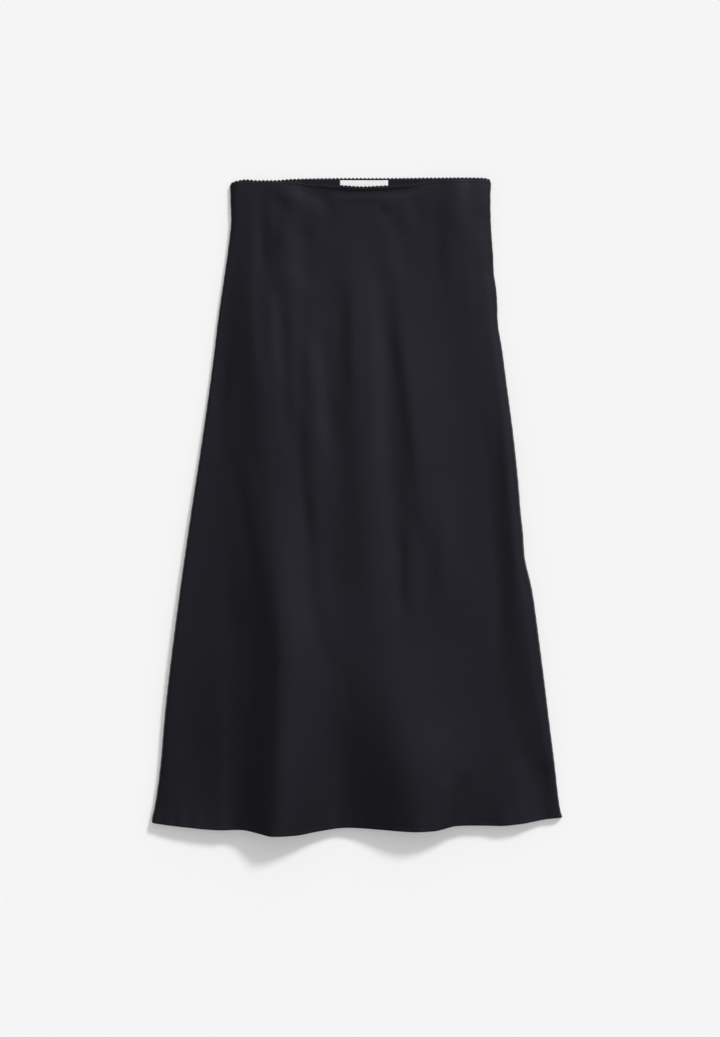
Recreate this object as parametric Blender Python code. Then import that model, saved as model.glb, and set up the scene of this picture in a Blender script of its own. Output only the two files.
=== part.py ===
"""Slip skirt laid flat on its back: two bias-cut panels, an elastic waist with a picot edge, a label.

Metres, +Z up. The waist points to +Y and the hem to -Y, and the skirt lies on z = 0.
The outside of the skirt is one flattened tube. Its places are given by `across`, the x
of a point, and by `down`, the distance from the waist's top line towards the hem.
Every sewn piece is made from points of that tube, moved in along its normals.
"""

from collections import namedtuple

import bmesh
import bpy
import numpy as np

# Driving dimensions
LENGTH = 0.7856  # from the picot tips to the lowest point of the hem
CLOTH = 0.0010  # wall of a panel
SEAM_GAP = 0.0003  # between two pieces that are sewn together
HEM_WIDTH = 0.0060  # the double-turned hem
HEM_LEVEL = 0.7750  # how far down the hem lies on the whole, where its columns are placed
HEM_WALL = 0.0015
ROLL = 0.0045  # how far the front's side fold reaches in from the outline
BAND_WIDTH = 0.0110  # the elastic, below the edge of the satin
BAND_WALL = 0.0010
PICOT_HEIGHT = 0.0016
PICOT_PITCH = 0.0046
LABEL_WIDTH = 0.0576
LABEL_HEIGHT = 0.0160
LABEL_WALL = 0.0008
LABEL_CENTRE = 0.0090
LABEL_TOP = 0.0030

# Counts of the mesh
ROLL_STEPS = 5
FRONT_COLUMNS = 44
BACK_COLUMNS = 22
PANEL_ROWS = 40
PICOT_STEPS = 4
ROLL_SHARE = 0.03  # of a panel's columns, as a share of its run from seam to seam

# The outline: the side seams
Side = namedtuple("Side", "down left right")
SIDES = (
    Side(0.000, -0.1516, 0.1616),
    Side(0.026, -0.1512, 0.1606),
    Side(0.050, -0.1504, 0.1610),
    Side(0.074, -0.1526, 0.1624),
    Side(0.122, -0.1592, 0.1668),
    Side(0.170, -0.1661, 0.1712),
    Side(0.218, -0.1718, 0.1764),
    Side(0.314, -0.1846, 0.1888),
    Side(0.410, -0.1988, 0.1988),
    Side(0.506, -0.2130, 0.2124),
    Side(0.602, -0.2252, 0.2252),
    Side(0.698, -0.2336, 0.2368),
    Side(0.746, -0.2399, 0.2422),
    Side(0.772, -0.2458, 0.2467),
)

# Where the right seam draws the outline in
Pucker = namedtuple("Pucker", "down bite reach")
PUCKERS = (
    Pucker(0.114, 0.0013, 0.014),
    Pucker(0.176, 0.0020, 0.022),
    Pucker(0.405, 0.0010, 0.025),
    Pucker(0.456, 0.0034, 0.026),
)

# The satin's top edge, on the front and on the back
Top = namedtuple("Top", "across front back")
TOPS = (
    Top(-0.152, 0.0086, 0.0086),
    Top(-0.144, 0.0068, 0.0056),
    Top(-0.130, 0.0062, 0.0040),
    Top(-0.095, 0.0066, 0.0040),
    Top(-0.060, 0.0086, 0.0028),
    Top(-0.008, 0.0104, 0.0022),
    Top(0.004, 0.0116, 0.0022),
    Top(0.018, 0.0106, 0.0022),
    Top(0.060, 0.0096, 0.0022),
    Top(0.095, 0.0054, 0.0018),
    Top(0.128, 0.0040, 0.0016),
    Top(0.150, 0.0042, 0.0020),
    Top(0.162, 0.0056, 0.0056),
)

# The hem line, on the front and on the back
Hem = namedtuple("Hem", "across front back")
HEMS = (
    Hem(-0.246, 0.7722, 0.7722),
    Hem(-0.212, 0.7760, 0.7725),
    Hem(-0.160, 0.7800, 0.7750),
    Hem(-0.138, 0.7794, 0.7760),
    Hem(-0.118, 0.7824, 0.7765),
    Hem(-0.100, 0.7855, 0.7765),
    Hem(-0.074, 0.7852, 0.7765),
    Hem(-0.046, 0.7816, 0.7760),
    Hem(-0.010, 0.7778, 0.7750),
    Hem(0.034, 0.7794, 0.7745),
    Hem(0.068, 0.7808, 0.7735),
    Hem(0.092, 0.7800, 0.7725),
    Hem(0.120, 0.7750, 0.7715),
    Hem(0.170, 0.7752, 0.7700),
    Hem(0.200, 0.7724, 0.7680),
    Hem(0.228, 0.7680, 0.7665),
    Hem(0.246, 0.7662, 0.7662),
)

# How high the tube lies: its side seams, and the front at the left and at the right
Height = namedtuple("Height", "down seam left right")
HEIGHTS = (
    Height(0.000, 0.0032, 0.0094, 0.0134),
    Height(0.008, 0.0032, 0.0090, 0.0130),
    Height(0.028, 0.0032, 0.0080, 0.0112),
    Height(0.060, 0.0026, 0.0073, 0.0109),
    Height(0.120, 0.0016, 0.0066, 0.0107),
    Height(0.200, 0.0016, 0.0064, 0.0104),
    Height(0.500, 0.0016, 0.0066, 0.0106),
    Height(0.650, 0.0016, 0.0090, 0.0106),
    Height(0.720, 0.0016, 0.0118, 0.0104),
    Height(0.790, 0.0016, 0.0136, 0.0094),
)

# How the front falls towards each outline
Shoulder = namedtuple("Shoulder", "down left_width left_drop right_width right_drop")
SHOULDERS = (
    Shoulder(0.000, 0.010, 0.0004, 0.040, 0.0044),
    Shoulder(0.100, 0.010, 0.0000, 0.036, 0.0044),
    Shoulder(0.250, 0.010, 0.0000, 0.026, 0.0038),
    Shoulder(0.500, 0.010, 0.0000, 0.024, 0.0040),
    Shoulder(0.650, 0.016, 0.0024, 0.022, 0.0040),
    Shoulder(0.720, 0.020, 0.0046, 0.022, 0.0036),
    Shoulder(0.790, 0.024, 0.0060, 0.024, 0.0024),
)

# The folds of the front: each has its crest line, its rise there, and how far its feet reach
Fold = namedtuple("Fold", "down crest rise left_foot right_foot")
FOLDS = {
    "left flute": (
        Fold(0.090, -0.134, 0.0000, 0.030, 0.040),
        Fold(0.150, -0.126, 0.0006, 0.036, 0.040),
        Fold(0.266, -0.108, 0.0020, 0.050, 0.056),
        Fold(0.400, -0.098, 0.0038, 0.064, 0.060),
        Fold(0.480, -0.092, 0.0060, 0.070, 0.060),
        Fold(0.560, -0.086, 0.0092, 0.076, 0.062),
        Fold(0.640, -0.084, 0.0112, 0.078, 0.074),
        Fold(0.720, -0.085, 0.0124, 0.070, 0.080),
        Fold(0.790, -0.090, 0.0144, 0.060, 0.074),
    ),
    "middle flute": (
        Fold(0.430, 0.010, 0.0000, 0.070, 0.060),
        Fold(0.530, 0.030, 0.0022, 0.080, 0.100),
        Fold(0.620, 0.050, 0.0064, 0.092, 0.106),
        Fold(0.700, 0.074, 0.0106, 0.096, 0.092),
        Fold(0.790, 0.083, 0.0148, 0.084, 0.056),
    ),
    "right flute": (
        Fold(0.620, 0.176, 0.0000, 0.024, 0.030),
        Fold(0.720, 0.178, 0.0022, 0.040, 0.060),
        Fold(0.790, 0.182, 0.0052, 0.044, 0.056),
    ),
    "middle ridge": (
        Fold(0.060, -0.004, 0.0000, 0.030, 0.040),
        Fold(0.160, -0.002, 0.0025, 0.036, 0.050),
        Fold(0.280, 0.002, 0.0035, 0.040, 0.050),
        Fold(0.400, 0.009, 0.0038, 0.048, 0.048),
        Fold(0.500, 0.018, 0.0020, 0.046, 0.046),
        Fold(0.580, 0.026, 0.0000, 0.030, 0.030),
    ),
    "right ridge": (
        Fold(0.060, 0.044, 0.0000, 0.020, 0.050),
        Fold(0.200, 0.056, 0.0017, 0.034, 0.060),
        Fold(0.280, 0.066, 0.0024, 0.034, 0.062),
        Fold(0.380, 0.078, 0.0026, 0.036, 0.056),
        Fold(0.470, 0.098, 0.0016, 0.040, 0.050),
        Fold(0.560, 0.112, 0.0000, 0.024, 0.036),
    ),
    "left ridge": (
        Fold(0.150, -0.046, 0.0000, 0.024, 0.028),
        Fold(0.260, -0.045, 0.0018, 0.024, 0.030),
        Fold(0.360, -0.042, 0.0018, 0.028, 0.028),
        Fold(0.440, -0.036, 0.0000, 0.022, 0.020),
    ),
    "seam ridge": (
        Fold(0.230, 0.176, 0.0000, 0.026, 0.012),
        Fold(0.330, 0.184, 0.0022, 0.036, 0.020),
        Fold(0.440, 0.191, 0.0042, 0.040, 0.020),
        Fold(0.520, 0.200, 0.0032, 0.032, 0.020),
        Fold(0.620, 0.211, 0.0000, 0.024, 0.014),
    ),
    "right waist fold": (
        Fold(0.000, 0.128, 0.0010, 0.046, 0.046),
        Fold(0.080, 0.126, 0.0022, 0.054, 0.044),
        Fold(0.190, 0.136, 0.0010, 0.050, 0.036),
        Fold(0.280, 0.140, 0.0000, 0.030, 0.036),
    ),
    "left waist fold": (
        Fold(0.000, -0.076, 0.0004, 0.026, 0.030),
        Fold(0.050, -0.084, 0.0016, 0.024, 0.036),
        Fold(0.110, -0.090, 0.0005, 0.024, 0.040),
        Fold(0.150, -0.090, 0.0000, 0.020, 0.040),
    ),
}

# The broad swell of the front: steep on its left, and falling slowly to the right seam
Swell = namedtuple("Swell", "down crest rise")
SWELL = (
    Swell(0.000, -0.100, 0.0014),
    Swell(0.060, -0.118, 0.0018),
    Swell(0.150, -0.122, 0.0044),
    Swell(0.266, -0.108, 0.0066),
    Swell(0.400, -0.098, 0.0066),
    Swell(0.560, -0.086, 0.0062),
    Swell(0.650, -0.084, 0.0050),
    Swell(0.790, -0.090, 0.0018),
)

# Colour, roughness and metallic value of each material
Finish = namedtuple("Finish", "colour roughness metallic")
SATIN = Finish((0.014, 0.013, 0.019), 0.42, 0.0)
ELASTIC = Finish((0.010, 0.010, 0.013), 0.75, 0.0)
LABEL = Finish((0.86, 0.86, 0.85), 0.60, 0.0)


def along(table, column, at):
    """The named column at each place, on a smooth curve through the rows that never overshoots."""
    key = np.array([row[0] for row in table])
    value = np.array([getattr(row, column) for row in table])
    step = np.diff(key)
    slope = np.diff(value) / step
    before, after = slope[:-1], slope[1:]
    turning = before * after <= 0.0
    total = np.where(turning, 1.0, before + after)
    mean = np.where(turning, 0.0, 2.0 * before * after / total)
    tangent = np.concatenate([slope[:1], mean, slope[-1:]])
    at = np.clip(at, key[0], key[-1])
    row = np.clip(np.searchsorted(key, at, side="right") - 1, 0, len(step) - 1)
    part = (at - key[row]) / step[row]
    rest = 1.0 - part
    return (
        (1.0 + 2.0 * part) * rest**2 * value[row]
        + part * rest**2 * step[row] * tangent[row]
        + part**2 * (3.0 - 2.0 * part) * value[row + 1]
        - part**2 * rest * step[row] * tangent[row + 1]
    )


def bell(reach):
    """1 on a fold's crest and 0 at its foot, steepest two fifths of the way out."""
    softness = 0.05
    far = np.hypot(np.clip(reach, 0.0, 1.0), softness) - softness
    far = far / (np.hypot(1.0, softness) - softness)
    return (1.0 - far**1.5) ** 2


def sides(down):
    """x of the left and of the right outline."""
    right = along(SIDES, "right", down)
    for pucker in PUCKERS:
        right = right - pucker.bite * np.exp(-(((down - pucker.down) / pucker.reach) ** 2))
    return along(SIDES, "left", down), right


def front_height(across, down):
    """Height of the front, before it rolls over to the seams."""
    left, right = sides(down)
    share = (across - left) / (right - left)
    height = along(HEIGHTS, "left", down) * (1.0 - share) + along(HEIGHTS, "right", down) * share
    for gap, side in ((across - left, "left"), (right - across, "right")):
        near = 1.0 - np.clip(gap / along(SHOULDERS, side + "_width", down), 0.0, 1.0)
        height = height - along(SHOULDERS, side + "_drop", down) * near**2
    crest = along(SWELL, "crest", down)
    steep = bell((crest - across) / (crest - left))
    slow = 1.0 - ((across - crest) / (right - crest)) ** 2
    height = height + along(SWELL, "rise", down) * np.where(across < crest, steep, slow)
    for fold in FOLDS.values():
        offset = across - along(fold, "crest", down)
        foot = np.where(offset < 0.0, along(fold, "left_foot", down), along(fold, "right_foot", down))
        height = height + along(fold, "rise", down) * bell(np.abs(offset) / foot)
    return height


def run(part):
    """A panel's columns, from part 0 at the left seam to 1 at the right one.

    Gives the share of the way across, the inset in rolls, and how far the roll has turned.
    """
    left_angle = np.clip(part / ROLL_SHARE, 0.0, 1.0) * np.pi / 2.0
    right_angle = np.clip((1.0 - part) / ROLL_SHARE, 0.0, 1.0) * np.pi / 2.0
    share = np.clip((part - ROLL_SHARE) / (1.0 - 2.0 * ROLL_SHARE), 0.0, 1.0)
    middle = 1.0 - 2.0 * share
    inset = np.where(share <= 0.0, 1.0 - np.cos(left_angle), middle)
    inset = np.where(share >= 1.0, np.cos(right_angle) - 1.0, inset)
    return share, inset, np.sin(np.minimum(left_angle, right_angle))


def across_at(panel, part, down):
    share, inset, _ = run(part)
    left, right = sides(down)
    roll = ROLL if panel == "front" else along(HEIGHTS, "seam", down)
    return left * (1.0 - share) + right * share + roll * inset


def outside(panel, part, down):
    """Points of the tube's outside, an array of x, y, z."""
    across = across_at(panel, part, down)
    turned = run(part)[2]
    seam = along(HEIGHTS, "seam", down)
    if panel == "front":
        height = seam + (front_height(across, down) - seam) * turned
    else:
        height = seam * (1.0 - turned)
    return np.stack([across, LENGTH / 2.0 - down, height], axis=-1)


def top_line(panel, part):
    return along(TOPS, panel, across_at(panel, part, 0.0))


def hem_line(panel, part):
    return along(HEMS, panel, across_at(panel, part, HEM_LEVEL))


def outward(ring):
    """Unit normals of a grid of rows by points, where each row is a closed ring."""
    across = np.roll(ring, -1, axis=1) - np.roll(ring, 1, axis=1)
    normal = np.cross(np.gradient(ring, axis=0), across)
    return normal / np.linalg.norm(normal, axis=-1, keepdims=True)


def material(name, finish):
    made = bpy.data.materials.new(name)
    made.use_nodes = True
    shader = made.node_tree.nodes["Principled BSDF"]
    shader.inputs["Base Color"].default_value = (*finish.colour, 1.0)
    shader.inputs["Roughness"].default_value = finish.roughness
    shader.inputs["Metallic"].default_value = finish.metallic
    return made


def closed_strip(name, sections, finish, ends_meet):
    """A solid from a grid of sections by corners by x, y, z. Its ends are capped, or meet in a loop."""
    count, corners, _ = sections.shape
    mesh = bpy.data.meshes.new(name)
    form = bmesh.new()
    points = [[form.verts.new(corner) for corner in section] for section in sections]
    for index in range(count if ends_meet else count - 1):
        here, there = points[index], points[(index + 1) % count]
        for corner in range(corners):
            after = (corner + 1) % corners
            form.faces.new((here[corner], there[corner], there[after], here[after]))
    if not ends_meet:
        half = corners // 2
        for section in (points[0], points[-1]):
            for corner in range(half - 1):
                far = corners - 1 - corner
                form.faces.new((section[corner], section[corner + 1], section[far - 1], section[far]))
    bmesh.ops.recalc_face_normals(form, faces=form.faces)
    form.to_mesh(mesh)
    form.free()
    made = bpy.data.objects.new(name, mesh)
    made.data.materials.append(finish)
    bpy.context.scene.collection.objects.link(made)
    made.data.shade_smooth()
    return made


def panel_parts(columns):
    """Column places: even steps of the roll at each seam, and even steps between the rolls."""
    roll = np.linspace(0.0, ROLL_SHARE, ROLL_STEPS + 1)
    middle = np.linspace(ROLL_SHARE, 1.0 - ROLL_SHARE, columns + 1)[1:-1]
    return np.concatenate([roll, middle, 1.0 - roll[::-1]])


def panel_rows(panel, parts):
    """`down` for each row and column of a panel. The last two rows are the hem's turn."""
    top, hem = top_line(panel, parts), hem_line(panel, parts)
    near_waist = np.array([0.0, 0.009, 0.019])
    step = np.concatenate([near_waist, np.linspace(0.034, 1.0, PANEL_ROWS - 3)])[:, None]
    rows = top + (hem - HEM_WIDTH - top) * step
    turn = hem - HEM_WIDTH + (HEM_WALL - CLOTH)
    return np.concatenate([rows, turn[None], hem[None]])


def panels(satin):
    """The front and the back. They share the ring's normals, and part at the side seams."""
    parts = {"front": panel_parts(FRONT_COLUMNS), "back": panel_parts(BACK_COLUMNS)}
    outer = {name: outside(name, part, panel_rows(name, part)) for name, part in parts.items()}
    back_run = outer["back"][:, -2:0:-1]
    normals = outward(np.concatenate([outer["front"], back_run], axis=1))
    columns = len(parts["front"])
    turned_back = [normals[:, :1], normals[:, :columns - 1:-1], normals[:, columns - 1:columns]]
    normal = {"front": normals[:, :columns], "back": np.concatenate(turned_back, axis=1)}
    wall = np.full(PANEL_ROWS + 2, CLOTH)
    wall[-2:] = HEM_WALL
    for name, raised in (("front", SEAM_GAP / 2.0), ("back", -SEAM_GAP / 2.0)):
        skin = outer[name]
        inside = skin - normal[name] * wall[:, None, None]
        for layer in (skin, inside):
            layer[:, [0, -1], 2] += raised
        sections = np.concatenate([skin, inside[::-1]]).transpose(1, 0, 2)
        closed_strip(name + "_panel", sections, satin, ends_meet=False)


def waist_ring(parts, lowered):
    """Closed rings at the satin's top edge, each lowered by a value for each place round it."""
    front = [outside("front", parts["front"], top_line("front", parts["front"]) + low[0]) for low in lowered]
    back = [outside("back", parts["back"], top_line("back", parts["back"]) + low[1]) for low in lowered]
    return np.stack([np.concatenate(pair) for pair in zip(front, back)])


def even_parts(panel, count):
    """Places at equal distances along the top edge of a panel, from one seam to just before the other."""
    fine = np.linspace(0.0, 1.0, 2001)
    edge = outside(panel, fine, top_line(panel, fine))
    steps = np.linalg.norm(np.diff(edge, axis=0), axis=1)
    length = np.concatenate([[0.0], np.cumsum(steps)])
    return np.interp(np.arange(count) / count * length[-1], length, fine)


def waist_elastic(elastic):
    """One loop of elastic inside the satin, whose upper edge is a row of picots."""
    width = SIDES[0].right - SIDES[0].left
    count = round(width / PICOT_PITCH) * PICOT_STEPS
    parts = {"front": even_parts("front", count), "back": 1.0 - even_parts("back", count)}
    wave = 0.5 + 0.5 * np.cos(2.0 * np.pi * np.arange(count) / PICOT_STEPS)
    tips = -PICOT_HEIGHT * (0.25 + 0.75 * wave)
    flat = np.full(count, BAND_WIDTH)
    ring = waist_ring(parts, ((tips, tips), (flat, flat)))
    normal = outward(ring)
    outer = ring - normal * (CLOTH + SEAM_GAP)
    inner = ring - normal * (CLOTH + SEAM_GAP + BAND_WALL)
    sections = np.stack([outer[0], outer[1], inner[1], inner[0]], axis=1)
    closed_strip("waist_elastic", sections, elastic, ends_meet=True)


def label(finish):
    """A bare woven label on the inside of the back, over the elastic and down onto the satin."""
    on_band = CLOTH + BAND_WALL + 2.0 * SEAM_GAP
    on_satin = CLOTH + SEAM_GAP
    band_end = along(TOPS, "back", LABEL_CENTRE) + BAND_WIDTH
    lying = (
        (LABEL_TOP, on_band),
        (band_end, on_band),
        (band_end + 0.0010, on_band - SEAM_GAP),
        (LABEL_TOP + LABEL_HEIGHT - 0.0015, on_satin),
        (LABEL_TOP + LABEL_HEIGHT, on_satin),
    )
    half = LABEL_WIDTH / 2.0
    ends = np.array([LABEL_CENTRE - half, LABEL_CENTRE + half])
    y = np.array([LENGTH / 2.0 - down for down, _ in lying])
    under = np.array([height for _, height in lying])
    sections = []
    for x in np.linspace(*ends, 4):
        lower = np.stack([np.full_like(y, x), y, under], axis=1)
        upper = lower + np.array([0.0, 0.0, LABEL_WALL])
        sections.append(np.concatenate([lower, upper[::-1]]))
    closed_strip("waist_label", np.array(sections), finish, ends_meet=False)


def main():
    for old in list(bpy.data.objects):
        bpy.data.objects.remove(old, do_unlink=True)
    satin = material("satin", SATIN)
    panels(satin)
    waist_elastic(material("elastic", ELASTIC))
    label(material("label", LABEL))


main()
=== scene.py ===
"""Slip skirt laid flat: the looks of its satin, elastic, label and stitching, and the studio round it.

Metres, +Z up. The waist points to +Y and the hem to -Y, and the skirt lies on z = 0.
The outside of the skirt is one flattened tube. Its places are given by `across`, the x
of a point, and by `down`, the distance from the waist's top line towards the hem. Every
piece is made from points of that tube, moved in or out along its normals.
"""

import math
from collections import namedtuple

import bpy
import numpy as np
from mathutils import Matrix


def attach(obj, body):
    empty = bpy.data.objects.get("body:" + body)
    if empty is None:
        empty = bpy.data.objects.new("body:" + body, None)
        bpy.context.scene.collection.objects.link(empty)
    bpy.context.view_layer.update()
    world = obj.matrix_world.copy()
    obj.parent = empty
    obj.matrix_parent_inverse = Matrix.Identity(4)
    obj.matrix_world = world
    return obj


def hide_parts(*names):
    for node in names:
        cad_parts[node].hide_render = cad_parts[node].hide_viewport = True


bl_info = {
    "name": "Slip skirt laid flat",
    "version": (1, 0, 0),
    "blender": (4, 5, 0),
    "location": "View3D > Sidebar > Slip skirt",
    "description": "Builds a bias-cut slip skirt in black satin, laid flat in a plain studio",
    "category": "Object",
}

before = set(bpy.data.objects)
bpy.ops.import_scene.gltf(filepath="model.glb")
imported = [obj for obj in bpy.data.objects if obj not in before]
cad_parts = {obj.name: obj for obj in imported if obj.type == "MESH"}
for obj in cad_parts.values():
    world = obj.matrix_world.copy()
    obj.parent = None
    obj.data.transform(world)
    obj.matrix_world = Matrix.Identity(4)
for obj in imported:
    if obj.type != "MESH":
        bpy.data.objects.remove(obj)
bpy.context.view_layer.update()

# Driving dimensions of the tube
LENGTH = 0.7856  # from the picot tips to the lowest point of the hem
SWELL_REACH = 0.92  # the swell's foot, as a share of the way from its crest to the left outline
ROLL = 0.0032  # how far the front's side fold reaches in from the outline
SEAM_PULL = 0.00012  # how far the small puckers of the side seams draw the outline in and out

# The waist
BAND_WIDTH = 0.0110  # the elastic, below the edge of the satin
PICOT_PITCH = 0.0046
PICOT_FOOT = 0.0001  # from the satin's edge to the valleys between the picots
PICOT_RISE = 0.0019  # from those valleys to the picots' tips
RIBS_IN_PICOT = 4
RIB_RISE = 0.00005
TURNED_EDGE = 0.0125  # how far down the satin's turned-in layer reaches, between its face and the elastic
TURNED_STEP = 0.0015  # over how much of that the layer thins out
GATHER_RISE = 0.00011  # the satin's small gathers along its top edge
GATHER_REACH = 0.0070
GROOVE_LEVEL = 0.0036  # below the satin's edge, where the elastic draws the satin in
GROOVE_REACH = 0.0021
ZIGZAG_LEVEL = 0.0013  # below the satin's edge, the top of the zigzag
CLEARANCE = 0.0001  # between two pieces that lie on each other

# The label
LABEL_WIDTH = 0.0576
LABEL_HEIGHT = 0.0160
LABEL_CENTRE = 0.0090  # to the right of the skirt's middle
LABEL_TOP = 0.0030  # from the picots' tips down to its upper edge
LABEL_TURN = 0.0065  # turned under at each end
LABEL_TURN_STEP = 0.0012  # over how much the turned part thins out
LABEL_SINGLE = 0.62  # of its thickness, where it isn't turned under
LABEL_LEAD = 0.0004  # above the elastic's lower edge, where the label starts to come down to the satin
LABEL_STEP = 0.0022  # over how much it comes down
LABEL_CURL = 0.00035  # how far its lower corners stand up
LABEL_WAVE = 0.00008  # how far it waves, off the places of its stitches
LABEL_STITCH = 0.0018  # the length of one stitch
LABEL_STITCH_PITCH = 0.0024
LABEL_MARGIN = 0.0016  # from its edges to its stitches

# The hem
HEM_WIDTH = 0.0060
HEM_STEP = 0.0008  # over how much of that the hem's fold thins out
HEM_LEVEL = 0.7750  # how far down the hem lies on the whole, where its columns are placed
HEM_STITCH = 0.0048  # from the hem's edge up to its line of stitches
STITCH_SINK = 0.00009  # how far that line draws the satin in
STITCH_REACH = 0.0009
HEM_PROUD = 0.00005  # how far the hem stands out below that line
HEM_PROUD_STEP = 0.0012
HEM_WAVE = 0.00022  # the small waves of the hem
HEM_WAVE_REACH = 0.030
CORNER = 0.0030  # rounding of the hem's left corner
NUB = 0.0012  # how far the seam's thick end stands out at the hem's right corner
NUB_LENGTH = 0.009
CORNER_SHARE = 0.02  # of a panel's run from seam to seam, how far in a corner's change fades

# Counts of the meshes
FINE_STEPS = 4000  # along a line whose length is measured
ROLL_STEPS = 8
ROLL_SHARE = 0.03  # of a panel's run from seam to seam, at each seam
FRONT_COLUMNS = 208
BACK_COLUMNS = 110
FRONT_ROWS = 231
BACK_ROWS = 171
WAIST_ROWS = 23  # how many of a panel's rows are the close ones at its top edge
WAIST_REACH = 0.022  # and how far down they go
HEM_ROWS = 21  # the same for the rows at its hem
HEM_REACH = 0.014
CROWDING = 1.3  # the power that draws the close rows towards their edge
EDGE_STEPS = 3
SCALLOP_STEPS = 16
BAND_ROWS = 9
LABEL_GRID = (33, 61)  # rows, columns
THREAD_SIDES = 6
ZIGZAG_STEPS = 4  # in each leg of the zigzag
TURNS = np.linspace(0.0, 2.0 * np.pi, THREAD_SIDES, endpoint=False)  # angles round a thread

# The outline: the side seams
Side = namedtuple("Side", "down left right")
SIDES = (
    Side(0.000, -0.1516, 0.1616),
    Side(0.026, -0.1512, 0.1606),
    Side(0.050, -0.1504, 0.1610),
    Side(0.074, -0.1526, 0.1624),
    Side(0.122, -0.1592, 0.1668),
    Side(0.170, -0.1661, 0.1712),
    Side(0.218, -0.1718, 0.1764),
    Side(0.314, -0.1852, 0.1888),
    Side(0.410, -0.1998, 0.1990),
    Side(0.506, -0.2134, 0.2126),
    Side(0.602, -0.2255, 0.2251),
    Side(0.650, -0.2306, 0.2309),
    Side(0.698, -0.2346, 0.2370),
    Side(0.746, -0.2408, 0.2425),
    Side(0.772, -0.2462, 0.2467),
)

# Where the right seam draws the outline in
Pucker = namedtuple("Pucker", "down bite reach")
PUCKERS = (
    Pucker(0.114, 0.0013, 0.014),
    Pucker(0.176, 0.0020, 0.022),
    Pucker(0.405, 0.0010, 0.025),
    Pucker(0.456, 0.0034, 0.026),
)

# The satin's top edge, on the front and on the back
Top = namedtuple("Top", "across front back")
TOPS = (
    Top(-0.152, 0.0086, 0.0086),
    Top(-0.144, 0.0066, 0.0055),
    Top(-0.133, 0.0054, 0.0037),
    Top(-0.119, 0.0062, 0.0047),
    Top(-0.098, 0.0063, 0.0047),
    Top(-0.079, 0.0058, 0.0033),
    Top(-0.061, 0.0083, 0.0027),
    Top(-0.043, 0.0102, 0.0024),
    Top(-0.016, 0.0124, 0.0022),
    Top(0.006, 0.0140, 0.0022),
    Top(0.034, 0.0127, 0.0022),
    Top(0.060, 0.0106, 0.0020),
    Top(0.080, 0.0072, 0.0017),
    Top(0.098, 0.0044, 0.0016),
    Top(0.128, 0.0036, 0.0014),
    Top(0.150, 0.0037, 0.0017),
    Top(0.158, 0.0044, 0.0029),
    Top(0.162, 0.0058, 0.0056),
)

# The hem line, on the front and on the back
Hem = namedtuple("Hem", "across front back")
HEMS = (
    Hem(-0.246, 0.7722, 0.7722),
    Hem(-0.212, 0.7760, 0.7725),
    Hem(-0.160, 0.7800, 0.7750),
    Hem(-0.138, 0.7794, 0.7760),
    Hem(-0.118, 0.7824, 0.7765),
    Hem(-0.100, 0.7855, 0.7765),
    Hem(-0.074, 0.7852, 0.7765),
    Hem(-0.046, 0.7816, 0.7760),
    Hem(-0.010, 0.7778, 0.7750),
    Hem(0.034, 0.7794, 0.7745),
    Hem(0.068, 0.7808, 0.7735),
    Hem(0.092, 0.7800, 0.7725),
    Hem(0.120, 0.7750, 0.7715),
    Hem(0.170, 0.7752, 0.7700),
    Hem(0.200, 0.7724, 0.7680),
    Hem(0.228, 0.7680, 0.7665),
    Hem(0.246, 0.7662, 0.7662),
)

# How high the tube lies: its side seams, and the front at the left and at the right
Height = namedtuple("Height", "down seam left right")
HEIGHTS = (
    Height(0.000, 0.0032, 0.0072, 0.0102),
    Height(0.008, 0.0032, 0.0074, 0.0107),
    Height(0.028, 0.0032, 0.0076, 0.0111),
    Height(0.060, 0.0026, 0.0074, 0.0103),
    Height(0.120, 0.0016, 0.0067, 0.0089),
    Height(0.200, 0.0016, 0.0066, 0.0084),
    Height(0.350, 0.0016, 0.0082, 0.0095),
    Height(0.500, 0.0016, 0.0100, 0.0108),
    Height(0.570, 0.0016, 0.0104, 0.0110),
    Height(0.650, 0.0016, 0.0098, 0.0098),
    Height(0.720, 0.0016, 0.0090, 0.0080),
    Height(0.790, 0.0016, 0.0098, 0.0070),
)

# How the front falls towards each outline
Shoulder = namedtuple("Shoulder", "down left_width left_drop right_width right_drop")
SHOULDERS = (
    Shoulder(0.000, 0.012, 0.0024, 0.020, 0.0030),
    Shoulder(0.060, 0.010, 0.0012, 0.019, 0.0029),
    Shoulder(0.110, 0.010, 0.0000, 0.018, 0.0027),
    Shoulder(0.250, 0.010, 0.0000, 0.012, 0.0010),
    Shoulder(0.500, 0.010, 0.0000, 0.012, 0.0004),
    Shoulder(0.650, 0.014, 0.0006, 0.012, 0.0006),
    Shoulder(0.720, 0.016, 0.0010, 0.012, 0.0002),
    Shoulder(0.790, 0.014, 0.0006, 0.014, 0.0000),
)

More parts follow.
